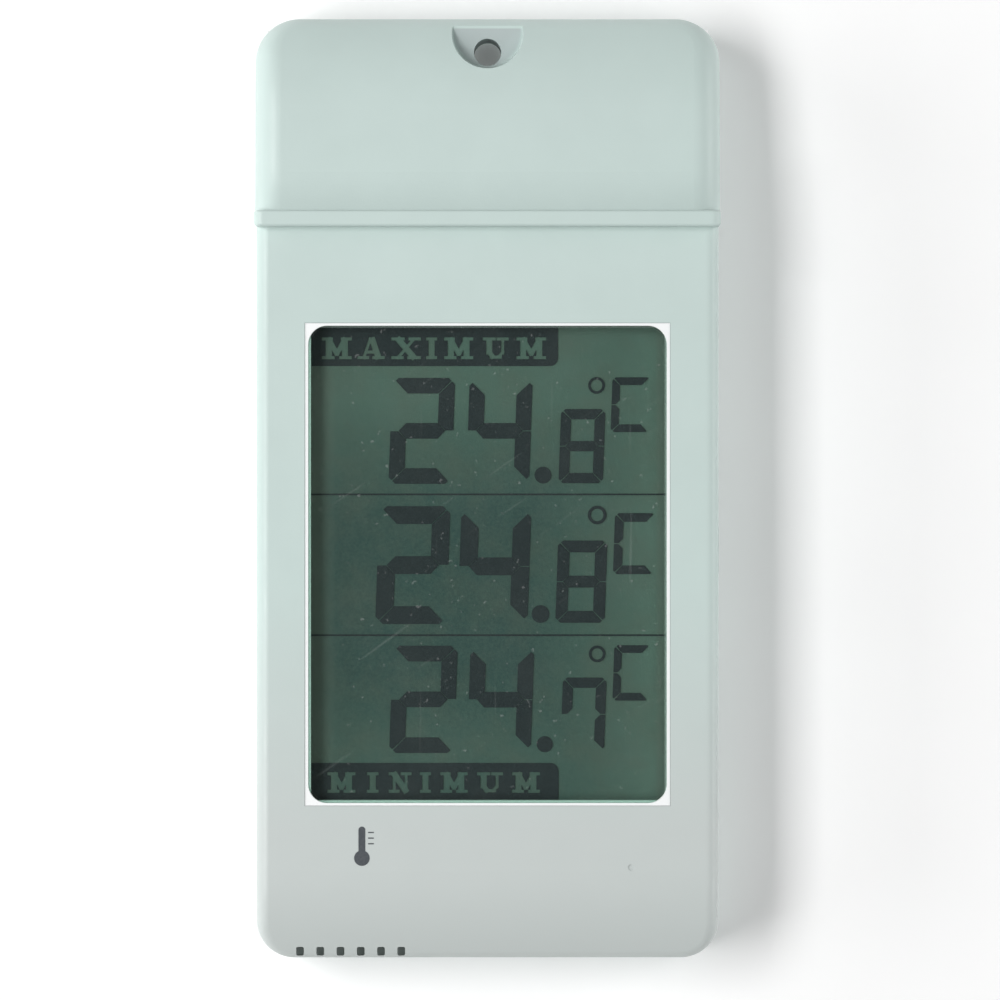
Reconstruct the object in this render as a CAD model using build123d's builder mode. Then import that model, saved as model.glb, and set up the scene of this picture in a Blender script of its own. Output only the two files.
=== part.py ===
"""A wall-hung digital maximum-minimum thermometer with a rain hood, built piece by piece.

Units are millimetres. X runs to the right seen from the front, Z runs up and -Y faces the viewer.
The origin is on the axis of the hanging hole, on the plane of the wall behind the thermometer.
`out` is a distance from that wall towards the viewer, so a point `out` mm from the wall has Y = -out.
"""

from build123d import *
from math import asin, atan2, cos, degrees, radians, sin, tan
import os

# ---------------------------------------------------------------- driving dimensions
height = 151.0
body_width = 74.0
body_depth = 19.0
wall = 2.0
hole_drop = 5.5  # hanging hole, below the top edge
hole_radius = 2.2
hole_tube_radius = 2.9
seam_out = 5.5  # where the front shell meets the rear cover
slip = 0.15  # gap left between pieces that slide into each other
gap = 0.05  # gap left between stacked flat pieces

top = hole_drop
bottom = top - height

# hood: a crown that rolls back to the top edge, a nearly upright face, and a flare to the lip
hood_width = body_width + 0.6
lip_out = body_depth + 2.6
lip_low = top - 33.8
lip_height = 2.6
lip_edge = 0.4
lip_under_edge = 0.6
lip_step = 0.6  # how far the bead stands out of the flare above it
crown_tilt = 42.0
face_tilt = 5.0
flare_tilt = 32.0
crown_drop = 14.0
face_drop = 11.0
hood_edge = 4.2
lip_corner = 1.4
top_corner = 7.0

# body: flat front that rolls back near the bottom edge
roll_start = bottom + 14.0
roll_radius = 25.0
body_edge = 2.0
bottom_corner = 6.0
back_edge = 1.5

# hanging recess
dish_z = 3.25
dish_radius = 5.65
dish_floor = 12.9
dish_draft = 6.0

# display window, centred on display_z
display_z = -82.3
rim_size = (58.4, 77.2)
lens_size = (57.4, 76.4)
lens_corner = 3.0
lens_front = 18.8
rim_front = 18.9
flange_size = (62.4, 82.6)
flange_thick = 0.75
film_thick = 0.2
glass_thick = 0.7
cell_gap = 0.12  # between the two glasses, where the segments lie
ink_thick = 0.1
glass_width = 60.4
front_glass_height = 81.0
rear_glass_height = 76.0
holder_room = 0.2
holder_wall = 1.2
connector_half = (28.0, 1.0)

# circuit board
board_out = 11.8  # its rear face
board_thick = 1.2
board_half = 32.6
board_top = -35.0
board_low = -124.2
board_tab_low = -128.8
board_tab_width = 4.2
board_posts = [(-27.0, -37.8), (27.0, -37.8), (-31.0, -126.5), (31.0, -126.5)]
board_post_radius = 1.9
board_screw_radius = 0.9

# pieces on the back of the board
blob_place = (-2.0, -88.0)
blob_radius = 5.5
blob_rise = 1.5
crystal_x = 10.0
crystal_z = -84.0
crystal_radius = 1.05
crystal_length = 6.0
capacitor_place = (15.0, -104.0)
capacitor_radius = 2.5
capacitor_height = 6.4
chip_places = [(-12, -82), (-12, -85), (-12, -88), (-12, -94), (7, -92), (7, -95), (2, -98), (-2, -98),
               (20, -76), (20, -84)]
chip_half = (0.8, 0.4)
chip_rise = 0.6

# screws that hold the case together
case_posts = [(-31.0, -8.0), (31.0, -8.0), (-31.4, -138.0), (31.4, -138.0)]
case_post_radius = 2.8
case_screw_radius = 1.25
head_seat = 2.6
head_radius = 2.3
post_split = 7.2  # rear pillars meet front posts here
tongue_rise = 1.3
tongue_thick = 1.0

# battery bay
cell_radius = 5.25
cell_length = 44.5
cell_z = -131.4
cell_out = 7.4
bay_half = 25.8
bay_low = cell_z - 5.7
bay_high = cell_z + 5.7
bay_floor = 12.9
bay_wall = 1.2
tab_near = cell_out + 1.1  # solder tabs of the contact plates
tab_far = cell_out + 3.5
tab_room = 0.3

# battery door, which swings on an axis along its bottom edge
door_half = 26.5
door_thick = 1.5
door_top = -123.5
door_low = -139.2
door_gap = 0.3
hinge_out = door_thick / 2
hinge_z = door_low + door_thick / 2
tongue_at = 15.0
tongue_half = 2.5
latch_half = 4.0

# reset button on the right side, and the switch it presses
button_z = -80.0
button_out = 9.9
button_length = 8.4
button_height = 4.0
button_reach = 0.2  # how far it stands out of the side
button_gap = 0.3

# degree C / degree F switch behind a slot in the rear cover, at rest at its left stop
unit_x = -14.0
unit_z = -60.0
unit_travel = 2.0
knob_width = 3.2
knob_height = 3.0
knob_pocket = (11.0, 6.0)

# vents under the sensor
vent_count = 6
vent_pitch = 3.25
vent_width = 1.25
vent_first = -30.1
vent_low = 0.35  # above the bottom edge
vent_high = 1.8
vent_corner = 0.3
vent_back = 12.9
vent_duct = 0.75

# gate mark left by moulding, low on the front
gate_mark = (23.0, -130.8)
gate_mark_radius = 0.5
gate_mark_depth = 0.12

os.makedirs("parts", exist_ok=True)


def facing(out):
    """A plane parallel to the wall, looking at the viewer, `out` mm in front of the wall."""
    return Plane.XZ.offset(out)


def keep(builder, label):
    """Labels a finished piece and writes it."""
    builder.part.label = label
    export_step(builder.part, f"parts/{label}.step")
    print(label, len(builder.part.solids()), round(builder.part.volume, 2))


def block(x_span, out_span, z_span, mode=Mode.ADD):
    """A box between two values of x, of out and of z, in the current part."""
    middle = (sum(x_span) / 2, -sum(out_span) / 2, sum(z_span) / 2)
    with Locations(middle):
        Box(x_span[1] - x_span[0], out_span[1] - out_span[0], z_span[1] - z_span[0], mode=mode)


def case_outline(inset=0.0, out=0.0, width=body_width):
    """Front view of the case, `inset` mm inside its outer edge, as a sketch `out` mm from the wall."""
    with BuildSketch() as view:
        with Locations((0, (top + bottom) / 2)):
            Rectangle(width - 2 * inset, height - 2 * inset)
        fillet(view.vertices().group_by(Axis.Y)[0], bottom_corner - inset)
        fillet(view.vertices().group_by(Axis.Y)[-1], top_corner - inset)
    return facing(out) * view.sketch


# ---------------------------------------------------------------- outer skin of the front shell
crown_radius = crown_drop / (sin(radians(crown_tilt)) - sin(radians(face_tilt)))
flare_start = (-(lip_out - lip_step), lip_low + lip_height)
flare_end_z = top - crown_drop - face_drop
flare_radius = (flare_end_z - flare_start[1]) / (sin(radians(flare_tilt)) - sin(radians(face_tilt)))
roll_turn = degrees(asin((roll_start - bottom) / roll_radius))
hood_floor = lip_low + lip_height / 2

with BuildPart() as body_skin:
    with BuildSketch(Plane.YZ):
        with BuildLine():
            flat = Line((-body_depth, hood_floor), (-body_depth, roll_start))
            roll = JernArc(flat @ 1, (0, -1), roll_radius, roll_turn)
            Polyline(roll @ 1, (-seam_out, bottom), (-seam_out, hood_floor), flat @ 0)
        make_face()
    extrude(amount=body_width / 2, both=True)
    extrude(case_outline(), amount=lip_out, mode=Mode.INTERSECT)
    front_rim = body_skin.edges().filter_by(
        lambda edge: edge.center().Y < -seam_out - 0.1 and edge.center().Z < hood_floor - 0.1
    )
    front_rim = front_rim.filter_by(Axis.Y, reverse=True)
    front_rim = front_rim.filter_by(
        lambda edge: abs(edge.center().X) > 0.1 or edge.center().Z < bottom + 0.1)
    fillet(front_rim, body_edge)

with BuildPart() as hood_skin:
    with BuildSketch(Plane.YZ):
        with BuildLine():
            flare_heading = (sin(radians(flare_tilt)), cos(radians(flare_tilt)))
            flare = JernArc(flare_start, flare_heading, flare_radius, flare_tilt - face_tilt)
            upright = PolarLine(flare @ 1, face_drop / cos(radians(face_tilt)), 90 - face_tilt)
            crown = JernArc(upright @ 1, upright % 1, crown_radius, face_tilt - crown_tilt)
            Polyline(crown @ 1, (-seam_out, top), (-seam_out, hood_floor),
                     (flare_start[0], hood_floor), flare @ 0)
        make_face()
    extrude(amount=hood_width / 2, both=True)
    extrude(case_outline(width=hood_width), amount=lip_out, mode=Mode.INTERSECT)
    hood_rim = hood_skin.edges().filter_by(
        lambda edge: edge.center().Y < -seam_out - 0.1 and edge.center().Z > hood_floor + 0.1
    )
    hood_rim = hood_rim.filter_by(Axis.Y, reverse=True)
    hood_rim = hood_rim.filter_by(lambda edge: abs(edge.center().X) > 0.1 or edge.center().Z > top - 0.1)
    fillet(hood_rim, hood_edge)

with BuildPart() as lip_bead:
    block((-hood_width / 2, hood_width / 2), (seam_out, lip_out), (lip_low, lip_low + lip_height))
    fillet(lip_bead.edges().filter_by(Axis.Z).group_by(Axis.Y)[0], lip_corner)
    for lip_face, edge_radius in ((0, lip_under_edge), (-1, lip_edge)):
        lip_rims = lip_bead.faces().filter_by(Axis.Z).sort_by(Axis.Z)[lip_face].edges()
        fillet(lip_rims.filter_by(lambda edge: edge.center().Y < -seam_out - 0.1), edge_radius)


with BuildPart() as skin:
    add(body_skin.part)
    add(hood_skin.part)
    add(lip_bead.part)

# ---------------------------------------------------------------- front shell
inner_front = body_depth - wall
inner_low = bottom + wall
inner_top = top - wall
inner_turn = degrees(asin((roll_start - inner_low) / (roll_radius - wall)))
upright_angle = radians(face_tilt)
crown_centre_z = top - crown_drop - crown_radius * sin(upright_angle)
crown_inner_end = degrees(asin((inner_top - crown_centre_z) / (crown_radius - wall)))
inner_face_end = ((upright @ 1).X + wall * cos(upright_angle), (upright @ 1).Y - wall * sin(upright_angle))
inner_face_start_z = inner_face_end[1] - (inner_front + inner_face_end[0]) / tan(upright_angle)

with BuildPart() as cavity:
    with BuildSketch(Plane.YZ):
        with BuildLine():
            inner_flat = Line((-inner_front, inner_face_start_z), (-inner_front, roll_start))
            inner_roll = JernArc(inner_flat @ 1, (0, -1), roll_radius - wall, inner_turn)
            Line(inner_flat @ 0, inner_face_end)
            inner_crown = JernArc(
                inner_face_end, (sin(upright_angle), cos(upright_angle)),
                crown_radius - wall, face_tilt - crown_inner_end)
            Polyline(inner_roll @ 1, (0, inner_low), (0, inner_top), inner_crown @ 1)
        make_face()
    extrude(amount=body_width / 2, both=True)
    extrude(case_outline(inset=wall), amount=lip_out, mode=Mode.INTERSECT)
    # leave the screw posts and the cup behind the hanging recess standing in it
    with BuildSketch(facing(post_split)):
        with Locations(*case_posts):
            Circle(case_post_radius)
    extrude(amount=lip_out, mode=Mode.SUBTRACT)
    with BuildSketch(facing(board_out + board_thick)):
        with Locations(*board_posts):
            Circle(board_post_radius)
    extrude(amount=lip_out, mode=Mode.SUBTRACT)
    with BuildSketch(facing(dish_floor - wall)):
        with Locations((0, dish_z)):
            Circle(dish_radius + wall)
    extrude(amount=lip_out, mode=Mode.SUBTRACT)

with BuildPart() as front_shell:
    add(skin.part)
    add(cavity.part, mode=Mode.SUBTRACT)
    with BuildSketch(facing(wall + gap)):
        Circle(hole_tube_radius)
    extrude(amount=dish_floor - 1.5 * wall)
    # window
    with BuildSketch(facing(inner_front - 1)):
        with Locations((0, display_z)):
            Rectangle(rim_size[0] + 2 * gap, rim_size[1] + 2 * gap)
    extrude(amount=wall + 2, mode=Mode.SUBTRACT)
    # hanging recess and hole
    with BuildSketch(facing(dish_floor)):
        with Locations((0, dish_z)):
            Circle(dish_radius)
    extrude(amount=lip_out - dish_floor, taper=-dish_draft, mode=Mode.SUBTRACT)
    with BuildSketch(facing(0)):
        Circle(hole_radius)
    extrude(amount=dish_floor + 1, mode=Mode.SUBTRACT)
    # pilot holes for the screws
    with BuildSketch(facing(post_split)):
        with Locations(*case_posts):
            Circle(case_screw_radius + gap)
    extrude(amount=6.5, mode=Mode.SUBTRACT)
    with BuildSketch(facing(board_out)):
        with Locations(*board_posts):
            Circle(board_screw_radius + gap)
    extrude(amount=4.2, mode=Mode.SUBTRACT)
    # button hole in the right side
    with BuildSketch(Plane.YZ.offset(body_width / 2 - wall - 1)):
        with Locations((-button_out, button_z)):
            SlotOverall(button_length + 2 * button_gap, button_height + 2 * button_gap, rotation=90)
    extrude(amount=wall + 2, mode=Mode.SUBTRACT)
    # vents: short slots low on the front, each open to the cavity through the bottom wall
    for index in range(vent_count):
        vent_x = vent_first + index * vent_pitch
        with BuildSketch(facing(vent_back)):
            with Locations((vent_x, bottom + (vent_low + vent_high) / 2)):
                RectangleRounded(vent_width, vent_high - vent_low, vent_corner)
        extrude(amount=lip_out - vent_back, mode=Mode.SUBTRACT)
        block((vent_x - vent_width / 2, vent_x + vent_width / 2), (vent_back, vent_back + vent_duct),
              (bottom + (vent_low + vent_high) / 2, bottom + wall + 0.5), mode=Mode.SUBTRACT)
    # gate mark left by moulding
    with BuildSketch(facing(body_depth - gate_mark_depth)):
        with Locations(gate_mark):
            Circle(gate_mark_radius)
    extrude(amount=1, mode=Mode.SUBTRACT)
keep(front_shell, "front_shell")

# ---------------------------------------------------------------- rear cover
tongue_slot_half = tongue_half + door_gap

with BuildPart() as rear_cover:
    extrude(case_outline(), amount=seam_out)
    fillet(rear_cover.faces().sort_by(Axis.Y)[-1].edges(), back_edge)
    extrude(case_outline(inset=wall, out=wall), amount=seam_out, mode=Mode.SUBTRACT)
    # tongue that slides into the front shell
    extrude(case_outline(inset=wall, out=seam_out - 1.5), amount=1.5)
    extrude(case_outline(inset=wall + slip, out=seam_out), amount=tongue_rise)
    extrude(case_outline(inset=wall + slip + tongue_thick, out=wall), amount=seam_out, mode=Mode.SUBTRACT)
    block((-hole_tube_radius - 0.5, hole_tube_radius + 0.5), (wall, post_split),
          (0, top - wall), mode=Mode.SUBTRACT)
    # pillars for the case screws
    with BuildSketch(facing(wall / 2)):
        with Locations(*case_posts):
            Circle(case_post_radius)
    extrude(amount=post_split - gap - wall / 2)
    # battery bay
    block((-bay_half - bay_wall, bay_half + bay_wall), (wall / 2, bay_floor + bay_wall),
          (bay_low - bay_wall, bay_high + bay_wall))
    block((-bay_half, bay_half), (-1, bay_floor), (bay_low, bay_high), mode=Mode.SUBTRACT)
    # door opening, its ledge, and room for the tongues and the latch
    block((-door_half - door_gap, door_half + door_gap), (-1, door_thick + gap),
          (door_low - door_gap, door_top + door_gap), mode=Mode.SUBTRACT)
    for side in (-1, 1):
        tongue_x = (side * tongue_at - tongue_slot_half, side * tongue_at + tongue_slot_half)
        block(tongue_x, (1, 5), (door_low - door_gap, bay_low + 0.5), mode=Mode.SUBTRACT)
        block(tongue_x, (wall + 0.02, 5), (door_low - 2.4, bay_low), mode=Mode.SUBTRACT)
    block((-latch_half - door_gap, latch_half + door_gap), (1, wall + 0.02),
          (bay_high + bay_wall, door_top + door_gap), mode=Mode.SUBTRACT)
    # slots for the contact tabs
    for side in (-1, 1):
        tab_x = sorted((side * (bay_half - 0.75), side * (bay_half + 0.001)))
        block(tab_x, (tab_near - tab_room, tab_far + tab_room),
              (bay_high - 1, bay_high + bay_wall + 1), mode=Mode.SUBTRACT)
    # hanging hole
    with BuildSketch(facing(-1)):
        Circle(hole_radius)
    extrude(amount=wall + 2, mode=Mode.SUBTRACT)
    # screw holes with sunk seats
    with BuildSketch(facing(-1)):
        with Locations(*case_posts):
            Circle(head_radius + 0.2)
    extrude(amount=head_seat + 1, mode=Mode.SUBTRACT)
    with BuildSketch(facing(0)):
        with Locations(*case_posts):
            Circle(case_screw_radius + 0.2)
    extrude(amount=post_split + 1, mode=Mode.SUBTRACT)
    # sunk window for the degree C / degree F knob
    with BuildSketch(facing(-1)):
        with Locations((unit_x + unit_travel / 2, unit_z)):
            RectangleRounded(*knob_pocket, 1.5)
    extrude(amount=1.6, mode=Mode.SUBTRACT)
    with BuildSketch(facing(-1)):
        with Locations((unit_x + unit_travel / 2, unit_z)):
            RectangleRounded(knob_width + unit_travel + 0.6, knob_height + 0.6, 0.6)
    extrude(amount=wall + 2, mode=Mode.SUBTRACT)
keep(rear_cover, "rear_cover")

# ---------------------------------------------------------------- window and display
lens_back = inner_front - gap - flange_thick
polariser_back = lens_back - 2 * gap - film_thick
front_glass_back = polariser_back - gap - glass_thick
rear_glass_front = front_glass_back - cell_gap
rear_glass_back = rear_glass_front - glass_thick
board_front = board_out + board_thick
holder_inner = (glass_width + 2 * holder_room, front_glass_height + 2 * holder_room)
holder_outer = (holder_inner[0] + 2 * holder_wall, holder_inner[1] + 2 * holder_wall)


def panel(width, tall, back, thick):
    """A flat rectangular pane centred on the display, in the current part."""
    block((-width / 2, width / 2), (back, back + thick), (display_z - tall / 2, display_z + tall / 2))


with BuildPart() as window_rim:
    with BuildSketch(facing(inner_front)):
        with Locations((0, display_z)):
            Rectangle(*rim_size)
            RectangleRounded(*lens_size, lens_corner, mode=Mode.SUBTRACT)
    extrude(amount=rim_front - inner_front)
keep(window_rim, "window_rim")

with BuildPart() as display_lens:
    with BuildSketch(facing(lens_back)):
        with Locations((0, display_z)):
            RectangleRounded(*flange_size, lens_corner)
    extrude(amount=flange_thick)
    with BuildSketch(facing(lens_back)):
        with Locations((0, display_z)):
            RectangleRounded(lens_size[0] - 2 * gap, lens_size[1] - 2 * gap, lens_corner - gap)
    extrude(amount=lens_front - lens_back)
    chamfer(display_lens.faces().sort_by(Axis.Y)[0].edges(), 0.35)
keep(display_lens, "display_lens")

with BuildPart() as lcd_front_polariser:
    panel(glass_width, front_glass_height, polariser_back, film_thick)
keep(lcd_front_polariser, "lcd_front_polariser")

with BuildPart() as lcd_front_glass:
    panel(glass_width, front_glass_height, front_glass_back, glass_thick)
keep(lcd_front_glass, "lcd_front_glass")

with BuildPart() as lcd_rear_glass:
    panel(glass_width, rear_glass_height, rear_glass_back, glass_thick)
keep(lcd_rear_glass, "lcd_rear_glass")

with BuildPart() as lcd_rear_film:
    panel(glass_width, rear_glass_height, rear_glass_back - gap - film_thick, film_thick)
keep(lcd_rear_film, "lcd_rear_film")

# dark shapes that the display shows: figures, two banners and two divider lines
segments_of = {"2": "abged", "4": "fgbc", "7": "fabc", "8": "abcdefg", "C": "afed"}
slant = tan(radians(2.0))
figure_gap = 0.07


def figure(name, left, right, low, high, stroke):
    """One seven-segment figure, leaning a little to the right, in the current sketch."""
    middle = (low + high) / 2
    cut = 0.42 * stroke
    half = stroke / 2
    small = figure_gap

    def lean(points):
        Polygon(*[(x + (z - middle) * slant, z) for x, z in points], align=None)

    def level(edge, inward):
        """The top or bottom bar: `inward` points from its outer edge to the middle."""
        lean([
            (left + cut, edge), (right - cut, edge),
            (right - cut / 2 - small, edge + inward * (cut / 2 - small)),
            (right - stroke - small, edge + inward * stroke),
            (left + stroke + small, edge + inward * stroke),
            (left + cut / 2 + small, edge + inward * (cut / 2 - small)),
        ])

    def upright_bar(edge, inward, end, toward):
        """A side bar from the outer corner at `end` to the middle of the figure."""
        lean([
            (edge, end + toward * cut),
            (edge + inward * (cut / 2 - small), end + toward * (cut / 2 + small)),
            (edge + inward * stroke, end + toward * (stroke + small)),
            (edge + inward * stroke, middle - toward * (half + small)),
            (edge + inward * half, middle - toward * small),
            (edge, middle - toward * small),
        ])

    for part in segments_of[name]:
        if part == "a":
            level(high, -1)
        elif part == "d":
            level(low, 1)
        elif part == "b":
            upright_bar(right, -1, high, -1)
        elif part == "c":
            upright_bar(right, -1, low, 1)
        elif part == "f":
            upright_bar(left, 1, high, -1)
        elif part == "e":
            upright_bar(left, 1, low, 1)
        else:
            lean([
                (left + half + small, middle), (left + stroke, middle + half),
                (right - stroke, middle + half), (right - half - small, middle),
                (right - stroke, middle - half), (left + stroke, middle - half),
            ])


def degree_ring(x, z, outer, inner):
    with Locations((x, z)):
        Circle(outer)
        Circle(inner, mode=Mode.SUBTRACT)


def reading(tens, units, point, decimal, ring, scale_letter):
    """One row of the display: two large figures, a point, a small figure, a degree ring and a C."""
    figure(*tens)
    figure(*units)
    with Locations(point[:2]):
        Circle(point[2])
    figure(*decimal)
    degree_ring(*ring)
    figure(*scale_letter)


# letters of the banners: strokes on a grid one unit wide and one unit high, each with its weight
stem = 1.0
slope = 0.8
foot = 0.5
letter_strokes = {
    "M": [((0.2, 0), (0.2, 1), stem), ((0.2, 1), (0.5, 0.2), slope), ((0.5, 0.2), (0.8, 1), slope),
          ((0.8, 1), (0.8, 0), stem), ((0.0, 0), (0.36, 0), foot), ((0.64, 0), (1.0, 0), foot),
          ((0.0, 1), (0.3, 1), foot), ((0.7, 1), (1.0, 1), foot)],
    "A": [((0.2, 0), (0.46, 1), foot), ((0.54, 1), (0.8, 0), stem), ((0.3, 0.3), (0.7, 0.3), foot),
          ((0.0, 0), (0.36, 0), foot), ((0.6, 0), (1.0, 0), foot)],
    "X": [((0.2, 0), (0.8, 1), foot), ((0.2, 1), (0.8, 0), stem), ((0.0, 0), (0.36, 0), foot),
          ((0.6, 0), (1.0, 0), foot), ((0.0, 1), (0.4, 1), foot), ((0.64, 1), (1.0, 1), foot)],
    "I": [((0.5, 0), (0.5, 1), stem), ((0.0, 0), (1.0, 0), foot), ((0.0, 1), (1.0, 1), foot)],
    "N": [((0.2, 0), (0.2, 1), foot), ((0.2, 1), (0.8, 0), stem), ((0.8, 0), (0.8, 1), foot),
          ((0.0, 0), (0.4, 0), foot), ((0.0, 1), (0.3, 1), foot), ((0.6, 1), (1.0, 1), foot)],
    "U": [((0.22, 1), (0.22, 0.25), stem), ((0.22, 0.3), (0.38, 0.03), slope),
          ((0.3, 0.03), (0.7, 0.03), foot), ((0.62, 0.03), (0.8, 0.3), foot), ((0.8, 0.25), (0.8, 1), foot),
          ((0.0, 1), (0.44, 1), foot), ((0.6, 1), (1.0, 1), foot)],
}
banner_corner = 1.3


def letter(name, left, right, low, high):
    """Cuts one banner letter out of the current sketch."""
    half = foot / 2

    def on_grid(point):
        across = left + half + point[0] * (right - left - foot)
        up = low + half + point[1] * (high - low - foot)
        return (across, up)

    for start, end, weight in letter_strokes[name]:
        start_x, start_z = on_grid(start)
        end_x, end_z = on_grid(end)
        run = Vector(end_x - start_x, end_z - start_z)
        turn = degrees(atan2(run.Y, run.X))
        with Locations(((start_x + end_x) / 2, (start_z + end_z) / 2)):
            Rectangle(run.length + foot, weight, rotation=turn, mode=Mode.SUBTRACT)


def banner(word, right, low, high, round_low, ends, letter_low, letter_high):
    """A dark strip from the left edge of the window, one corner rounded, with a word left clear in it."""
    left = -lens_size[0] / 2
    corner_z = low if round_low else high
    inward = 1 if round_low else -1
    with Locations(((left + right) / 2, (low + high) / 2)):
        Rectangle(right - left, high - low)
    with Locations((right - banner_corner / 2, corner_z + inward * banner_corner / 2)):
        Rectangle(banner_corner, banner_corner, mode=Mode.SUBTRACT)
    with Locations((right - banner_corner, corner_z + inward * banner_corner)):
        Circle(banner_corner)
    for name, (letter_left, letter_right) in zip(word, ends):
        letter(name, letter_left, letter_right, letter_low, letter_high)


with BuildPart() as lcd_segments:
    with BuildSketch(facing(rear_glass_front + (cell_gap - ink_thick) / 2)):
        banner("MAXIMUM", 11.3, -50.5, display_z + lens_size[1] / 2, True,
               [(-26.6, -21.8), (-20.9, -16.5), (-15.5, -10.7), (-9.9, -8.1), (-7.0, -2.3), (-0.8, 3.4),
                (4.6, 9.4)], -49.4, -45.9)
        banner("MINIMUM", 11.4, display_z - lens_size[1] / 2, -114.2, False,
               [(-25.7, -21.2), (-19.4, -17.5), (-15.9, -12.2), (-10.9, -9.1), (-7.6, -3.2), (-1.7, 2.5),
                (3.9, 8.4)], -119.0, -115.7)
        for divider_z in (-71.1, -93.7):
            with Locations((0, divider_z)):
                Rectangle(lens_size[0], 0.27)
        reading(("2", -15.6, -5.5, -69.4, -52.4, 2.5), ("4", -3.15, 6.95, -69.2, -52.6, 2.5),
                (8.9, -68.0, 1.35), ("8", 11.6, 18.7, -69.3, -57.4, 1.65),
                (17.5, -53.6, 1.35, 0.93), ("C", 19.9, 26.0, -61.1, -52.3, 1.25))
        reading(("2", -17.7, -6.3, -91.9, -73.0, 2.85), ("4", -4.5, 6.7, -91.7, -73.6, 2.85),
                (8.5, -90.3, 1.42), ("8", 11.1, 19.0, -91.7, -78.5, 1.9),
                (17.6, -74.4, 1.5, 1.0), ("C", 20.3, 26.8, -83.9, -74.1, 1.4))
        reading(("2", -15.5, -5.1, -112.6, -95.4, 2.5), ("4", -3.0, 7.2, -112.3, -95.8, 2.5),
                (9.2, -111.2, 1.3), ("7", 11.9, 18.9, -112.3, -100.5, 1.65),
                (17.6, -96.7, 1.35, 0.9), ("C", 20.2, 26.0, -104.2, -95.3, 1.25))
    extrude(amount=ink_thick)
keep(lcd_segments, "lcd_segments")

with BuildPart() as lcd_holder:
    with BuildSketch(facing(board_front + gap)):
        with Locations((0, display_z)):
            RectangleRounded(*holder_outer, 1.0)
            Rectangle(*holder_inner, mode=Mode.SUBTRACT)
    extrude(amount=lens_back - board_front - 2 * gap)
keep(lcd_holder, "lcd_holder")

connector_offset = (rear_glass_height + front_glass_height) / 4
for connector_name, side in (("upper", 1), ("lower", -1)):
    with BuildPart() as connector:
        connector_z = display_z + side * connector_offset
        block((-connector_half[0], connector_half[0]), (board_front + gap, front_glass_back - gap),
              (connector_z - connector_half[1], connector_z + connector_half[1]))
    keep(connector, f"elastomer_connector_{connector_name}")

# ---------------------------------------------------------------- circuit board and what it carries
with BuildPart() as circuit_board:
    with BuildSketch(facing(board_out)):
        with Locations((0, (board_top + board_low) / 2)):
            Rectangle(2 * board_half, board_top - board_low)
        for side in (-1, 1):
            with Locations((side * (board_half - board_tab_width / 2), (board_low + board_tab_low) / 2)):
                Rectangle(board_tab_width, board_low - board_tab_low)
        with Locations(*board_posts):
            Circle(board_screw_radius + 0.2, mode=Mode.SUBTRACT)
    extrude(amount=board_thick)
keep(circuit_board, "circuit_board")

board_back = board_out - gap

with BuildPart() as controller_blob:
    blob_sphere = (blob_radius ** 2 + blob_rise ** 2) / (2 * blob_rise)
    with Locations((blob_place[0], -(board_back - blob_rise + blob_sphere), blob_place[1])):
        Sphere(blob_sphere)
    block((blob_place[0] - 2 * blob_radius, blob_place[0] + 2 * blob_radius),
          (board_back - 2 * blob_rise, board_back),
          (blob_place[1] - 2 * blob_radius, blob_place[1] + 2 * blob_radius), mode=Mode.INTERSECT)
keep(controller_blob, "controller_blob")

with BuildPart() as crystal:
    with Locations((crystal_x, crystal_radius - board_back, crystal_z)):
        Cylinder(crystal_radius, crystal_length)
    fillet(crystal.edges().sort_by(Axis.Z)[-1], 0.3)
    for lead_x in (crystal_x - 0.4, crystal_x + 0.4):
        with Locations((lead_x, crystal_radius - board_back, crystal_z - crystal_length / 2 - 0.6)):
            Cylinder(0.15, 1.6)
keep(crystal, "crystal")

with BuildPart() as chip_parts:
    for chip_x, chip_z in chip_places:
        block((chip_x - chip_half[0], chip_x + chip_half[0]), (board_back - chip_rise, board_back),
              (chip_z - chip_half[1], chip_z + chip_half[1]))
keep(chip_parts, "chip_parts")

with BuildPart() as capacitor:
    with BuildSketch(facing(board_back - capacitor_height)):
        with Locations(capacitor_place):
            Circle(capacitor_radius)
    extrude(amount=capacitor_height)
    fillet(capacitor.edges().sort_by(Axis.Y)[-1], 0.4)
keep(capacitor, "capacitor")

# ---------------------------------------------------------------- reset button and its switch
side_inner = body_width / 2 - wall
button_flange_outer = side_inner - 0.2
button_flange_thick = 0.9
button_flange_inner = button_flange_outer - button_flange_thick
switch_face = 31.4
plunger_tip = button_flange_inner - gap

with BuildPart() as reset_button:
    with BuildSketch(Plane.YZ.offset(button_flange_inner)):
        with Locations((-button_out, button_z)):
            SlotOverall(button_length + 1.6, button_height + 1.6, rotation=90)
    extrude(amount=button_flange_thick)
    with BuildSketch(Plane.YZ.offset(button_flange_outer)):
        with Locations((-button_out, button_z)):
            SlotOverall(button_length, button_height, rotation=90)
    extrude(amount=body_width / 2 + button_reach - button_flange_outer)
    fillet(reset_button.faces().sort_by(Axis.X)[-1].edges(), 0.4)
keep(reset_button, "reset_button")

with BuildPart() as reset_switch_body:
    block((27.0, switch_face), (8.2, board_back), (button_z - 3, button_z + 3))
    block((29.4, switch_face + 1), (button_out - 0.9, button_out + 0.9), (button_z - 1.4, button_z + 1.4),
          mode=Mode.SUBTRACT)
keep(reset_switch_body, "reset_switch_body")

with BuildPart() as reset_switch_plunger:
    block((30.2, plunger_tip), (button_out - 0.8, button_out + 0.8), (button_z - 1.3, button_z + 1.3))
keep(reset_switch_plunger, "reset_switch_plunger")

# ---------------------------------------------------------------- degree C / degree F switch
unit_middle = unit_x + unit_travel / 2
unit_switch_out = board_back - 3.4
lever_half = 0.8
knob_plate_out = wall + 0.3

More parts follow.
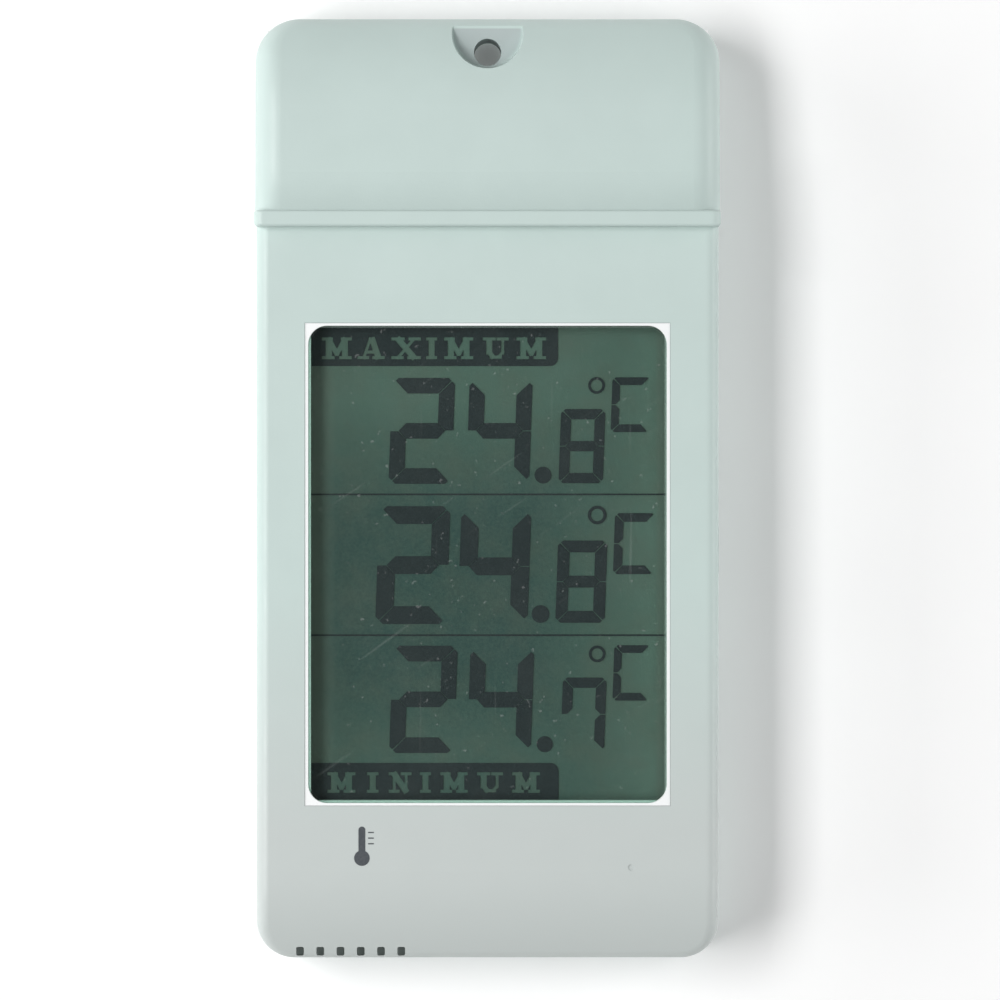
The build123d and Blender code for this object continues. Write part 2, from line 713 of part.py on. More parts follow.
with BuildPart() as unit_switch_body:
    block((unit_middle - 4.3, unit_middle + 4.3), (unit_switch_out, board_back), (unit_z - 2, unit_z + 2))
    block((unit_x - lever_half - 0.1, unit_x + unit_travel + lever_half + 0.1),
          (unit_switch_out - 1, unit_switch_out + 1.6),
          (unit_z - lever_half - 0.1, unit_z + lever_half + 0.1), mode=Mode.SUBTRACT)
keep(unit_switch_body, "unit_switch_body")

with BuildPart() as unit_switch_lever:
    block((unit_x - lever_half, unit_x + lever_half), (4.6, unit_switch_out + 1.5),
          (unit_z - lever_half, unit_z + lever_half))
keep(unit_switch_lever, "unit_switch_lever")

with BuildPart() as unit_selector_knob:
    block((unit_x - knob_width / 2, unit_x + knob_width / 2), (0.6, knob_plate_out + 0.1),
          (unit_z - knob_height / 2, unit_z + knob_height / 2))
    for groove in (-0.8, 0.0, 0.8):
        block((unit_x + groove - 0.15, unit_x + groove + 0.15), (0, 0.9), (unit_z - 2, unit_z + 2),
              mode=Mode.SUBTRACT)
    block((unit_x - 4.4, unit_x + 4.4), (knob_plate_out, knob_plate_out + 0.8), (unit_z - 2.5, unit_z + 2.5))
    block((unit_x - 1.7, unit_x + 1.7), (knob_plate_out + 0.5, 7.4), (unit_z - 1.7, unit_z + 1.7))
    block((unit_x - lever_half - gap, unit_x + lever_half + gap), (4.5, 8),
          (unit_z - lever_half - gap, unit_z + lever_half + gap), mode=Mode.SUBTRACT)
keep(unit_selector_knob, "unit_selector_knob")


# ---------------------------------------------------------------- wires
def wire(points, bend, thick):
    """A round wire of radius `thick` through (x, out, z) points with rounded bends."""
    with BuildPart() as run:
        with BuildLine() as route:
            FilletPolyline(*[(x, -out, z) for x, out, z in points], radius=bend)
        with BuildSketch(Plane(route.line @ 0, z_dir=route.line % 0)):
            Circle(thick)
        sweep(path=route.line)
    return run.part


sensor_x = -22.0
sensor_out = 10.0
sensor_z = -140.9
sensor_lead_x = -27.8

with BuildPart() as thermistor_bead:
    with Locations((sensor_x, -sensor_out, sensor_z)):
        Sphere(1.2)
keep(thermistor_bead, "thermistor_bead")

with BuildPart() as thermistor_leads:
    for lead_out, lead_top in ((sensor_out - 0.45, -117.5), (sensor_out + 0.45, -120.5)):
        add(wire([(sensor_x - 1.25, lead_out, sensor_z), (sensor_lead_x, lead_out, sensor_z),
                  (sensor_lead_x, lead_out, lead_top), (sensor_lead_x, board_back, lead_top)], 0.9, 0.25))
keep(thermistor_leads, "thermistor_leads")

# ---------------------------------------------------------------- battery, contacts and leads
cell_end = 25.0  # tip of the positive nub
cell_back = cell_end - cell_length
nub_length = 1.0
plate_near = cell_end + 0.1
plate_far = plate_near + 0.4


def along_x(x):
    return Plane.YZ.offset(x)


with BuildPart() as battery_cell:
    with BuildSketch(along_x(cell_back)):
        with Locations((-cell_out, cell_z)):
            Circle(cell_radius - 0.25)
    extrude(amount=cell_length - nub_length)
    fillet(battery_cell.edges().filter_by(GeomType.CIRCLE), 0.5)
keep(battery_cell, "battery_cell")

with BuildPart() as battery_sleeve:
    with BuildSketch(along_x(cell_back + 0.5)):
        with Locations((-cell_out, cell_z)):
            Circle(cell_radius)
            Circle(cell_radius - 0.22, mode=Mode.SUBTRACT)
    extrude(amount=cell_length - nub_length - 1.0)
keep(battery_sleeve, "battery_sleeve")

with BuildPart() as battery_nub:
    with BuildSketch(along_x(cell_end - nub_length)):
        with Locations((-cell_out, cell_z)):
            Circle(1.9)
    extrude(amount=nub_length)
    fillet(battery_nub.edges().sort_by(Axis.X)[-1], 0.3)
keep(battery_nub, "battery_nub")

for contact_name, side in (("positive", 1), ("negative", -1)):
    with BuildPart() as contact_plate:
        plate_x = sorted((side * plate_near, side * plate_far))
        block(plate_x, (cell_out - 4.2, cell_out + 4.2), (cell_z - 4.6, cell_z + 4.9))
        block(plate_x, (tab_near, tab_far), (cell_z + 4.5, bay_high + bay_wall + 1.7))
        fillet(contact_plate.edges().filter_by(Axis.X).group_by(Axis.Z)[0], 1.2)
    keep(contact_plate, f"contact_plate_{contact_name}")

    with BuildPart() as lead:
        tab_x = side * (plate_near - 0.45)
        board_x = tab_x - side * 3.5
        lead_out = (tab_near + tab_far) / 2
        add(wire([(tab_x, lead_out, bay_high + bay_wall + 0.3), (tab_x, lead_out, -119.5),
                  (board_x, lead_out, -115.0), (board_x, lead_out, -111.5),
                  (board_x, board_back, -111.5)], 1.2, 0.4))
    keep(lead, f"battery_lead_{contact_name}")

coil_radius = 3.1
coil_wire = 0.3
coil_start = -plate_near + coil_wire + gap
coil_length = cell_back - coil_wire - gap - coil_start

with BuildPart() as contact_spring:
    with BuildLine() as coil:
        Helix(pitch=coil_length / 4, height=coil_length, radius=coil_radius,
              center=(coil_start, -cell_out, cell_z), direction=(1, 0, 0))
    with BuildSketch(Plane(coil.line @ 0, z_dir=coil.line % 0)):
        Circle(coil_wire)
    sweep(path=coil.line, is_frenet=True)
keep(contact_spring, "contact_spring")

# ---------------------------------------------------------------- battery door
with BuildPart() as battery_door:
    block((-door_half, door_half), (0, door_thick), (hinge_z, door_top))
    with Locations(Location((0, -hinge_out, hinge_z), (0, 90, 0))):
        Cylinder(door_thick / 2, 2 * door_half)
    for side in (-1, 1):
        with BuildSketch(along_x(side * tongue_at)):
            with BuildLine():
                Polyline((-0.9, hinge_z - 0.45), (-2.35, hinge_z - 0.45), (-2.35, hinge_z - 2.1),
                         (-3.3, hinge_z - 2.1), (-3.3, hinge_z + 0.45), (-0.9, hinge_z + 0.45), close=True)
            make_face()
        extrude(amount=tongue_half, both=True)
    block((-latch_half, latch_half), (1, 3.0), (door_top - 0.8, door_top))
    for ridge in range(4):
        ridge_z = door_top - 2.5 - ridge * 1.4
        block((-5, 5), (-0.5, 0.3), (ridge_z - 0.35, ridge_z + 0.35), mode=Mode.SUBTRACT)
keep(battery_door, "battery_door")


# ---------------------------------------------------------------- screws, driven from behind
def screw(x, z, seat, shank_radius, shank_length, screw_head_radius, head_height):
    """A cross-recess pan-head screw whose head rests on a face `seat` mm from the wall."""
    with BuildPart() as piece:
        with BuildSketch(facing(seat - head_height)):
            with Locations((x, z)):
                Circle(screw_head_radius)
        extrude(amount=head_height)
        fillet(piece.edges().sort_by(Axis.Y)[-1], head_height / 3)
        with BuildSketch(facing(seat - gap)):
            with Locations((x, z)):
                Circle(shank_radius)
        extrude(amount=shank_length + gap)
        chamfer(piece.edges().sort_by(Axis.Y)[0], shank_radius / 3)
        with BuildSketch(facing(seat - head_height - 1)):
            with Locations((x, z)):
                Rectangle(screw_head_radius * 1.2, screw_head_radius * 0.28)
                Rectangle(screw_head_radius * 0.28, screw_head_radius * 1.2)
        extrude(amount=1 + head_height * 0.6, mode=Mode.SUBTRACT)
    return piece.part


with BuildPart() as case_screws:
    for post_x, post_z in case_posts:
        add(screw(post_x, post_z, head_seat - gap, case_screw_radius, 10.0, head_radius, 1.5))
keep(case_screws, "case_screws")

with BuildPart() as board_screws:
    for post_x, post_z in board_posts:
        add(screw(post_x, post_z, board_back, board_screw_radius, 3.6, 1.8, 1.1))
keep(board_screws, "board_screws")
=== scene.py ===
"""Looks for the maximum-minimum thermometer: materials, small moulded details, light and camera."""

from math import asin, cos, pi, radians, sin

import bpy
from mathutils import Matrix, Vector


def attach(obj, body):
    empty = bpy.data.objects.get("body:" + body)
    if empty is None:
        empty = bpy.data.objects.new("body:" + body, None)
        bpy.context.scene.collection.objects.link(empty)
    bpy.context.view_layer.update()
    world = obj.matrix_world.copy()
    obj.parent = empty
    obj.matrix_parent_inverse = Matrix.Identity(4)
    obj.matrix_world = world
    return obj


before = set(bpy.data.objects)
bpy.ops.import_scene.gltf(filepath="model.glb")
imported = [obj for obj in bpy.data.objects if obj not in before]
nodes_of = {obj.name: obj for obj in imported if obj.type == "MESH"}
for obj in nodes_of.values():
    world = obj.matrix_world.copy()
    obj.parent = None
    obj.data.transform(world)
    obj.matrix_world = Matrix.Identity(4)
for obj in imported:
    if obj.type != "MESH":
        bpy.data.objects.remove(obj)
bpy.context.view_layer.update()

# places on the case, in metres from the hanging hole
WINDOW_Z = -0.0823
WINDOW_HALF_X = 0.0283
WINDOW_HALF_Z = 0.0378
DISH_Z = 0.00325
DISH_FLOOR_TOP = 0.0040
MARK_PLACE = (-0.0201, -0.1274)
FACE_Y = -0.019
# how far the noise texture's values reach, for stretching them to the full range
NOISE_LOW = 0.3
NOISE_HIGH = 0.7


# ---------------------------------------------------------------- node helpers
class Shader:
    """A material under construction, with short calls for the nodes it needs."""

    def __init__(self, name):
        self.material = bpy.data.materials.new(name)
        self.material.use_nodes = True
        self.tree = self.material.node_tree
        self.surface = self.tree.nodes["Principled BSDF"]
        self.output = self.tree.nodes["Material Output"]
        self.place = self.tree.nodes.new("ShaderNodeTexCoord").outputs["Object"]

    def add(self, kind, **values):
        node = self.tree.nodes.new(kind)
        for name, value in values.items():
            if hasattr(node, name):
                setattr(node, name, value)
            else:
                node.inputs[name.replace("_", " ").title()].default_value = value
        return node

    def link(self, start, end):
        self.tree.links.new(start, end)

    def settle(self, **values):
        """Sets sockets of the shader itself, such as Roughness=0.4."""
        for name, value in values.items():
            self.surface.inputs[name.replace("_", " ")].default_value = value

    def noise(self, scale, detail=2.0, roughness=0.5, stretch=(1, 1, 1), turn=(0, 0, 0)):
        """Noise over the object's own place; scale is in cells per metre."""
        mapping = self.add("ShaderNodeMapping", vector_type="TEXTURE")
        mapping.inputs["Scale"].default_value = tuple(1 / part for part in stretch)
        mapping.inputs["Rotation"].default_value = turn
        self.link(self.place, mapping.inputs["Vector"])
        node = self.add("ShaderNodeTexNoise")
        node.inputs["Scale"].default_value = scale
        node.inputs["Detail"].default_value = detail
        node.inputs["Roughness"].default_value = roughness
        self.link(mapping.outputs["Vector"], node.inputs["Vector"])
        return node.outputs["Fac"]

    def mottle(self, scale, detail, roughness, stretch=(1, 1, 1)):
        """Noise stretched to run from 0 to 1."""
        return self.ramp(self.noise(scale, detail, roughness, stretch), NOISE_LOW, NOISE_HIGH, 0, 1)

    def ramp(self, factor, low, high, from_value, to_value):
        """Maps a value from low..high to from_value..to_value, clamped."""
        node = self.add("ShaderNodeMapRange")
        sockets = ("From Min", "From Max", "To Min", "To Max")
        for socket, value in zip(sockets, (low, high, from_value, to_value)):
            node.inputs[socket].default_value = value
        self.link(factor, node.inputs["Value"])
        return node.outputs["Result"]

    def blend(self, factor, first, second):
        """A colour from first to second as factor goes from 0 to 1."""
        node = self.add("ShaderNodeMix", data_type="RGBA")
        self.link(factor, node.inputs["Factor"])
        for index, value in ((6, first), (7, second)):
            if hasattr(value, "links"):
                self.link(value, node.inputs[index])
            else:
                node.inputs[index].default_value = (*value, 1)
        return node.outputs[2]

    def colour(self, value):
        if hasattr(value, "links"):
            self.link(value, self.surface.inputs["Base Color"])
        else:
            self.surface.inputs["Base Color"].default_value = (*value, 1)

    def bump(self, height, depth, under=None):
        """Raises the surface by height (0..1) times depth in metres."""
        node = self.add("ShaderNodeBump")
        node.inputs["Strength"].default_value = 1.0
        node.inputs["Distance"].default_value = depth
        self.link(height, node.inputs["Height"])
        if under is not None:
            self.link(under, node.inputs["Normal"])
        self.link(node.outputs["Normal"], self.surface.inputs["Normal"])
        return node.outputs["Normal"]

    def cover_clear(self, amount, tint=(1, 1, 1)):
        """Leaves the surface clear except for an amount (0..1) of the shader's own finish."""
        clear = self.add("ShaderNodeBsdfTransparent")
        clear.inputs["Color"].default_value = (*tint, 1)
        mix = self.add("ShaderNodeMixShader")
        self.link(amount, mix.inputs["Fac"])
        self.link(clear.outputs["BSDF"], mix.inputs[1])
        self.link(self.surface.outputs["BSDF"], mix.inputs[2])
        self.link(mix.outputs["Shader"], self.output.inputs["Surface"])

    def axis(self, name):
        """One of the object's own coordinates, in metres."""
        split = self.add("ShaderNodeSeparateXYZ")
        self.link(self.place, split.inputs["Vector"])
        return split.outputs[name]

    def math(self, operation, first, second=0.0, third=0.0):
        node = self.add("ShaderNodeMath", operation=operation)
        for index, value in enumerate((first, second, third)):
            if hasattr(value, "links"):
                self.link(value, node.inputs[index])
            else:
                node.inputs[index].default_value = value
        return node.outputs[0]


def dress(material, *names):
    """Gives CAD nodes a material."""
    for name in names:
        mesh_object = nodes_of[name]
        if not mesh_object.material_slots:
            mesh_object.data.materials.append(None)
        for slot in mesh_object.material_slots:
            slot.material = material


# ---------------------------------------------------------------- materials
def moulded(name, colour, roughness, grain_depth, shade=0.03, lower_tone=None, recess_shade=None):
    """Injection-moulded plastic: fine skin grain and faint flow shading.

    It can turn greyer and darker towards its lower end, and carry painted shade in the recess round the
    hanging hole.
    """
    s = Shader(name)
    darker = tuple(c * (1 - shade) for c in colour)
    body = s.blend(s.ramp(s.noise(60, 3, 0.6), 0.35, 0.65, 0, 1), darker, colour)
    # greyer and darker towards the foot of the case
    if lower_tone is not None:
        body = s.blend(s.ramp(s.axis("Z"), -0.125, -0.085, 1.0, 0.0), body, lower_tone)
    # painted shade: the recess round the hanging hole is darkened in colour
    if recess_shade is not None:
        across = s.axis("X")
        up = s.math("SUBTRACT", s.axis("Z"), DISH_Z)
        squares = s.math("ADD", s.math("MULTIPLY", across, across), s.math("MULTIPLY", up, up))
        from_middle = s.math("SQRT", squares)
        painted_shade_mask = s.math("MULTIPLY", s.ramp(from_middle, 0.0052, 0.0058, 1.0, 0.0),
                        s.ramp(s.axis("Z"), DISH_FLOOR_TOP - 0.0003, DISH_FLOOR_TOP, 1.0, 0.0))
        body = s.blend(painted_shade_mask, body, recess_shade)
    s.colour(body)
    rough = s.ramp(s.noise(220, 4, 0.65), 0.3, 0.7, roughness - 0.05, roughness + 0.06)
    s.link(rough, s.surface.inputs["Roughness"])
    s.settle(IOR=1.5)
    grain = s.bump(s.noise(2600, 2, 0.6), grain_depth)
    s.bump(s.noise(35, 2, 0.5), 0.00004, grain)
    return s.material


def metal(name, colour, roughness, brushed=(1, 1, 1), tarnish=0.25):
    """Plated or brushed metal with fine lines and slight tarnish."""
    s = Shader(name)
    dull = tuple(c * (1 - tarnish) for c in colour)
    s.colour(s.blend(s.ramp(s.noise(400, 4, 0.6), 0.4, 0.75, 0, 1), colour, dull))
    s.settle(Metallic=1.0)
    s.link(s.ramp(s.noise(3000, 2, 0.5, brushed), 0.3, 0.7, roughness - 0.06, roughness + 0.1),
           s.surface.inputs["Roughness"])
    s.bump(s.noise(6000, 2, 0.5, brushed), 0.000004)
    return s.material


def pane(name, tint, gloss):
    """A clear sheet inside the display: see-through with a trace of even gloss and a faint unevenness."""
    s = Shader(name)
    s.colour((1.0, 1.0, 1.0))
    s.settle(Metallic=1.0, Roughness=0.3)
    s.cover_clear(s.ramp(s.noise(120, 3, 0.6), 0.3, 0.7, 0.5 * gloss, 1.5 * gloss), tint)
    return s.material


def window_lens():
    """The moulded window: clear and glossy, a little scratched, with painted pale green light in its cut
    edges, strongest at the left and the foot.
    """
    s = Shader("clear_lens")
    smudge = s.ramp(s.noise(60, 5, 0.7), 0.45, 0.85, 0.0, 0.012)
    upright = s.ramp(s.noise(900, 2, 0.4, (1, 1, 0.05)), 0.72, 0.82, 0.0, 0.04)
    slanting = s.ramp(s.noise(800, 2, 0.4, (1, 1, 0.05), (0, radians(55), 0)), 0.69, 0.80, 0.0, 0.05)
    speck = s.ramp(s.noise(1300, 1, 0.3), 0.74, 0.82, 0.0, 0.09)
    haze = s.math("ADD", s.math("ADD", smudge, upright), s.math("ADD", slanting, speck))
    across = s.axis("X")
    up = s.math("SUBTRACT", s.axis("Z"), WINDOW_Z)
    # painted light: pale green glow in the cut edges, strongest at the left and the foot
    left = s.ramp(across, -WINDOW_HALF_X - 0.00005, -WINDOW_HALF_X + 0.00005, 0.50, 0.0)
    right = s.ramp(across, WINDOW_HALF_X + 0.00005, WINDOW_HALF_X + 0.00015, 0.0, 0.15)
    low = s.ramp(up, -WINDOW_HALF_Z - 0.00005, -WINDOW_HALF_Z + 0.00005, 0.50, 0.0)
    high = s.ramp(up, WINDOW_HALF_Z + 0.00005, WINDOW_HALF_Z + 0.00015, 0.0, 0.10)
    edge = s.math("MAXIMUM", s.math("MAXIMUM", left, right), s.math("MAXIMUM", low, high))
    # the real haze and the painted edge light both make the window diffuse here
    dull = s.math("MAXIMUM", haze, edge)
    s.colour(s.blend(s.ramp(edge, 0.0, 0.2, 0.0, 1.0), (0.95, 0.97, 0.96), (0.62, 0.94, 0.81)))
    s.link(s.ramp(dull, 0.0, 0.02, 1.0, 0.0), s.surface.inputs["Metallic"])
    s.settle(Roughness=0.12)
    fresnel = s.add("ShaderNodeFresnel")
    fresnel.inputs["IOR"].default_value = 1.3
    outside = s.math("SUBTRACT", 1.0, s.add("ShaderNodeNewGeometry").outputs["Backfacing"])
    shine = s.math("MULTIPLY", fresnel.outputs["Fac"], outside)
    s.cover_clear(s.math("MAXIMUM", shine, dull), (0.97, 1.0, 0.98))
    return s.material


def display_ground():
    """Grey-green reflecting film, stained and finely speckled, with painted light that makes it paler
    towards its top, foot and right side.

    Its left and right margins carry painted light: greyer, lighter strips that lift the window frame's
    shadow there.
    """
    s = Shader("display_film")
    # painted light: the film turns paler towards its top, foot and right side
    painted_light_top = s.ramp(s.axis("Z"), -0.074, -0.056, 0.0, 0.85)
    painted_light_foot = s.ramp(s.axis("Z"), -0.112, -0.100, 0.4, 0.0)
    painted_light_right = s.ramp(s.axis("X"), 0.006, 0.025, 0.0, 0.9)
    pale = s.math("MAXIMUM", s.math("MAXIMUM", painted_light_top, painted_light_foot), painted_light_right)
    ground = s.blend(pale, (0.020, 0.049, 0.060), (0.090, 0.133, 0.134))
    stain = s.ramp(s.noise(130, 3, 0.6), 0.42, 0.66, 0.0, 0.34)
    ground = s.blend(stain, ground, (0.092, 0.088, 0.086))
    speck = s.ramp(s.noise(2300, 3, 0.7), 0.35, 0.65, 0.0, 0.20)
    ground = s.blend(speck, ground, (0.110, 0.150, 0.140))
    # painted light: greyer, lighter margins at the left and right that lift the window frame's shadow
    left = s.ramp(s.axis("X"), -0.0275, -0.0243, 0.85, 0.0)
    right = s.ramp(s.axis("X"), 0.0268, 0.0275, 0.0, 0.5)
    s.colour(s.blend(s.math("MAXIMUM", left, right), ground, (0.115, 0.125, 0.126)))
    s.settle(Roughness=0.6)
    return s.material


def display_ink():
    """The dark figures and banners of the display."""
    s = Shader("display_ink")
    s.colour(s.blend(s.mottle(4200, 3, 0.7), (0.021, 0.023, 0.034), (0.033, 0.035, 0.049)))
    s.settle(Roughness=0.7, Specular_IOR_Level=0.2)
    return s.material


def solder_mask():
    """Green board lacquer over faint tracks."""
    s = Shader("board")
    weave = s.noise(900, 2, 0.5, (1, 1, 4))
    track = s.add("ShaderNodeTexBrick")
    track.inputs["Scale"].default_value = 260
    track.inputs["Mortar Size"].default_value = 0.03
    s.link(s.place, track.inputs["Vector"])
    base = s.blend(s.ramp(weave, 0.35, 0.65, 0, 1), (0.02, 0.11, 0.05), (0.03, 0.14, 0.065))
    s.colour(s.blend(track.outputs["Fac"], base, (0.05, 0.2, 0.1)))
    s.settle(Roughness=0.3)
    s.bump(track.outputs["Fac"], 0.00003)
    return s.material


def striped_rubber():
    """Zebra connector: thin conducting stripes in soft rubber."""
    s = Shader("connector_rubber")
    wave = s.add("ShaderNodeTexWave", bands_direction="X")
    wave.inputs["Scale"].default_value = 900
    s.link(s.place, wave.inputs["Vector"])
    s.colour(s.blend(wave.outputs["Fac"], (0.02, 0.02, 0.02), (0.35, 0.33, 0.3)))
    s.settle(Roughness=0.8)
    return s.material


def battery_wrap():
    """Plain printed film round the cell: dark body and a coppery end band, with no lettering."""
    s = Shader("cell_sleeve")
    along = s.ramp(s.axis("X"), 0.0105, 0.0108, 0, 1)
    s.colour(s.blend(along, (0.02, 0.022, 0.026), (0.55, 0.26, 0.09)))
    s.settle(Roughness=0.28)
    s.bump(s.noise(150, 3, 0.5), 0.00003)
    return s.material


def insulated(name, colour):
    """The plastic skin of a wire."""
    s = Shader(name)
    pale = tuple(min(1, c * 1.25 + 0.01) for c in colour)
    s.colour(s.blend(s.mottle(700, 2, 0.5), colour, pale))
    s.settle(Roughness=0.4)
    s.bump(s.noise(2500, 2, 0.5), 0.00001)
    return s.material


CASE = (0.585, 0.700, 0.670)
# the last colour is painted shade for the recess round the hanging hole
case_plastic = moulded("case_plastic", CASE, 0.42, 0.000012,
                       lower_tone=(0.575, 0.622, 0.608), recess_shade=(0.46, 0.53, 0.525))
cover_plastic = moulded("cover_plastic", tuple(c * 0.96 for c in CASE), 0.55, 0.00002)
rim_plastic = moulded("rim_plastic", (0.98, 1.0, 1.0), 0.35, 0.000004, shade=0.01)
button_plastic = moulded("button_plastic", (0.30, 0.38, 0.36), 0.4, 0.00001)
holder_plastic = moulded("holder_plastic", (0.75, 0.75, 0.72), 0.5, 0.00001)
switch_plastic = moulded("switch_plastic", (0.03, 0.03, 0.032), 0.5, 0.00001)
plunger_plastic = moulded("switch_plunger", (0.72, 0.69, 0.6), 0.45, 0.00001)
resin = moulded("black_resin", (0.012, 0.012, 0.013), 0.2, 0.00003)
capacitor_sleeve = moulded("capacitor_sleeve", (0.02, 0.035, 0.1), 0.25, 0.00001)
ceramic = moulded("chip_ceramic", (0.22, 0.15, 0.1), 0.45, 0.00001)
tin = metal("tinned_metal", (0.74, 0.73, 0.71), 0.3)
contact_metal = metal("contact_metal", (0.78, 0.76, 0.72), 0.2)
screw_metal = metal("screw_metal", (0.55, 0.55, 0.56), 0.35)
shell_metal = metal("switch_shell", (0.68, 0.68, 0.69), 0.3, (1, 1, 12))

dress(case_plastic, "front_shell")
dress(cover_plastic, "rear_cover", "battery_door")
dress(rim_plastic, "window_rim")
dress(window_lens(), "display_lens")
dress(pane("polariser", (0.96, 0.99, 0.96), 0.004), "lcd_front_polariser")
dress(pane("display_glass", (0.98, 0.995, 0.985), 0.002), "lcd_front_glass")
dress(display_ink(), "lcd_segments")
dress(display_ground(), "lcd_rear_glass", "lcd_rear_film")
dress(holder_plastic, "lcd_holder")
dress(striped_rubber(), "elastomer_connector_upper", "elastomer_connector_lower")
dress(solder_mask(), "circuit_board")
dress(resin, "controller_blob", "thermistor_bead")
dress(tin, "crystal", "battery_cell", "battery_nub")
dress(ceramic, "chip_parts")
dress(capacitor_sleeve, "capacitor")
dress(button_plastic, "reset_button", "unit_selector_knob")
dress(switch_plastic, "reset_switch_body")
dress(plunger_plastic, "reset_switch_plunger", "unit_switch_lever")
dress(shell_metal, "unit_switch_body")
dress(insulated("sensor_wire", (0.7, 0.62, 0.4)), "thermistor_leads")
dress(battery_wrap(), "battery_sleeve")
dress(contact_metal, "contact_plate_positive", "contact_plate_negative", "contact_spring")
dress(insulated("red_wire", (0.5, 0.02, 0.015)), "battery_lead_positive")
dress(insulated("black_wire", (0.015, 0.015, 0.015)), "battery_lead_negative")
dress(screw_metal, "case_screws", "board_screws")


# ---------------------------------------------------------------- printed mark
def printed_mark():
    """A small plain thermometer sign printed low on the front: a bulb, a stem and three ticks."""
    front = FACE_Y - 0.00001
    thick = 0.00002
    stem_half, stem_top, stem_steps = 0.00055, 0.0026, 12
    bulb_radius, bulb_drop, bulb_steps = 0.00125, 0.0019, 24
    tick_start, tick_end, tick_half = 0.0010, 0.0019, 0.0001
    spread = asin(stem_half / bulb_radius)
    outline = []
    for step in range(stem_steps + 1):
        turn = pi * step / stem_steps
        outline.append((stem_half * cos(turn), stem_top + stem_half * sin(turn)))
    for step in range(bulb_steps + 1):
        turn = pi / 2 + spread + (2 * pi - 2 * spread) * step / bulb_steps
        outline.append((bulb_radius * cos(turn), bulb_radius * sin(turn) - bulb_drop))
    shapes = [outline]
    for tick_z in (0.0004, 0.0013, 0.0022):
        shapes.append([(tick_end, tick_z + tick_half), (tick_start, tick_z + tick_half),
                       (tick_start, tick_z - tick_half), (tick_end, tick_z - tick_half)])
    points = []
    faces = []
    for shape in shapes:
        first = len(points)
        count = len(shape)
        for depth in (front, front - thick):
            points.extend((MARK_PLACE[0] + x, depth, MARK_PLACE[1] + z) for x, z in shape)
        faces.append([first + count + index for index in range(count)])
        faces.append([first + index for index in reversed(range(count))])
        for index in range(count):
            after = (index + 1) % count
            faces.append([first + index, first + after, first + count + after, first + count + index])
    mesh = bpy.data.meshes.new("printed_mark")
    mesh.from_pydata(points, [], faces)
    mesh.update()
    mark = bpy.data.objects.new("printed_mark", mesh)
    bpy.context.scene.collection.objects.link(mark)
    s = Shader("mark_ink")
    s.colour(s.blend(s.mottle(3500, 3, 0.6), (0.055, 0.065, 0.075), (0.085, 0.095, 0.105)))
    s.settle(Roughness=0.45)
    mesh.materials.append(s.material)
    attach(mark, "case")


printed_mark()


# ---------------------------------------------------------------- stage, light and camera
middle = Vector((0, 0, -0.070))


def backdrop():
    """A white wall just behind the case, seen from the front only.

    An opening hidden behind the case lets light reach its back, and a small patch closes the view
    through the hanging hole.
    """
    wall_y = 0.0006
    far = 0.5
    opening = (-0.0358, 0.0358, -0.1443, 0.0043)
    patch = 0.0032
    points = []
    faces = []
    for left, right, low, high in (
            (-far, opening[0], -far, far), (opening[1], far, -far, far),
            (opening[0], opening[1], -far, opening[2]), (opening[0], opening[1], opening[3], far),
            (-patch, patch, -patch, patch)):
        first = len(points)
        points.extend([(left, wall_y, low), (right, wall_y, low),
                       (right, wall_y, high), (left, wall_y, high)])
        faces.append((first, first + 1, first + 2, first + 3))
    mesh = bpy.data.meshes.new("backdrop")
    mesh.from_pydata(points, [], faces)
    plane = bpy.data.objects.new("backdrop", mesh)
    bpy.context.scene.collection.objects.link(plane)
    s = Shader("backdrop")
    s.colour(s.blend(s.mottle(30, 2, 0.5), (0.95, 0.95, 0.95), (0.97, 0.97, 0.97)))
    s.settle(Roughness=0.9, Emission_Color=(1, 1, 1, 1), Emission_Strength=0.10)
    s.cover_clear(s.math("SUBTRACT", 1.0, s.add("ShaderNodeNewGeometry").outputs["Backfacing"]))
    mesh.materials.append(s.material)


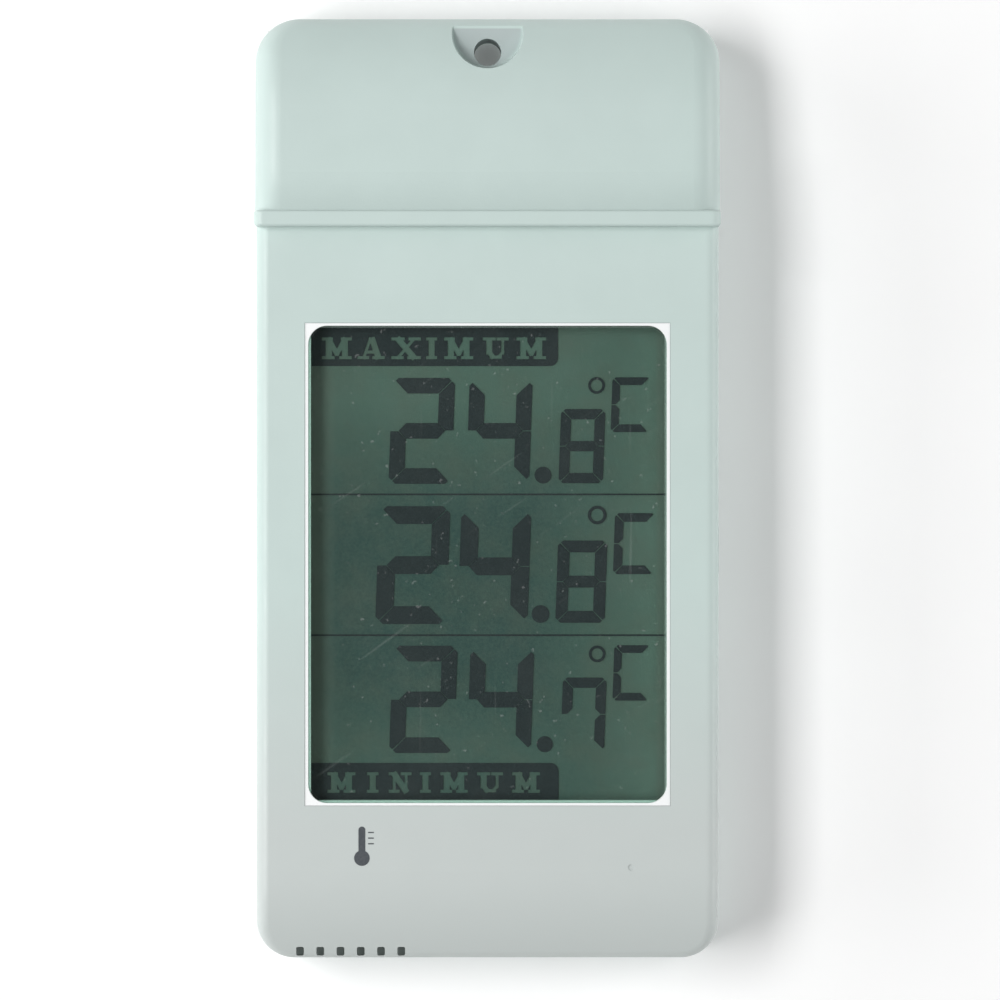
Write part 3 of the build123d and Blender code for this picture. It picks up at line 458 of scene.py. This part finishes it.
def softbox(name, place, size, watts, mirrored=True):
    """A rectangular area light that looks at the middle of the case, with or without its reflection."""
    light = bpy.data.lights.new(name, "AREA")
    light.shape = "RECTANGLE"
    light.size, light.size_y = size
    light.energy = watts
    holder = bpy.data.objects.new(name, light)
    holder.location = place
    holder.visible_camera = False
    holder.visible_glossy = mirrored
    holder.rotation_mode = "QUATERNION"
    holder.rotation_quaternion = (middle - Vector(place)).to_track_quat("-Z", "Y")
    bpy.context.scene.collection.objects.link(holder)


backdrop()
softbox("key_left", (-0.85, -1.25, -0.05), (0.45, 1.1), 14.8)
softbox("back", (0.25, 1.4, 0.5), (0.9, 0.9), 16)
softbox("left_edge", (-0.87, -0.33, -0.05), (0.35, 1.0), 4.4, mirrored=False)
softbox("fill_right", (0.60, -1.35, -0.12), (0.6, 1.0), 3)
softbox("right_edge", (0.9, -0.20, -0.05), (0.35, 1.0), 3.8)


def studio_world():
    """A pale surround that adds only a little light of its own."""
    world = bpy.data.worlds.new("studio")
    world.use_nodes = True
    tree = world.node_tree
    surround = tree.nodes["Background"]
    surround.inputs["Color"].default_value = (1, 1, 1, 1)
    path = tree.nodes.new("ShaderNodeLightPath")
    strength = tree.nodes.new("ShaderNodeMapRange")
    strength.inputs["To Min"].default_value = 0.14
    strength.inputs["To Max"].default_value = 0.85
    tree.links.new(path.outputs["Is Camera Ray"], strength.inputs["Value"])
    tree.links.new(strength.outputs["Result"], surround.inputs["Strength"])
    bpy.context.scene.world = world


studio_world()
scene = bpy.context.scene
scene.cycles.transparent_max_bounces = 24  # light goes in and out through four clear sheets
scene.view_settings.view_transform = "Standard"

# the camera stands square on to the face, and the case nearly fills the frame's height
view_width = 0.160
distance = 1.2
sensor_width = 36
lens_data = bpy.data.cameras.new("camera")
lens_data.sensor_width = sensor_width
lens_data.lens = sensor_width * distance / view_width
lens_data.clip_start = 0.01
lens_data.clip_end = 20
camera = bpy.data.objects.new("camera", lens_data)
camera.location = (0.002, FACE_Y - distance, -0.072)
camera.rotation_euler = (radians(90), 0, 0)
scene.collection.objects.link(camera)
scene.camera = camera
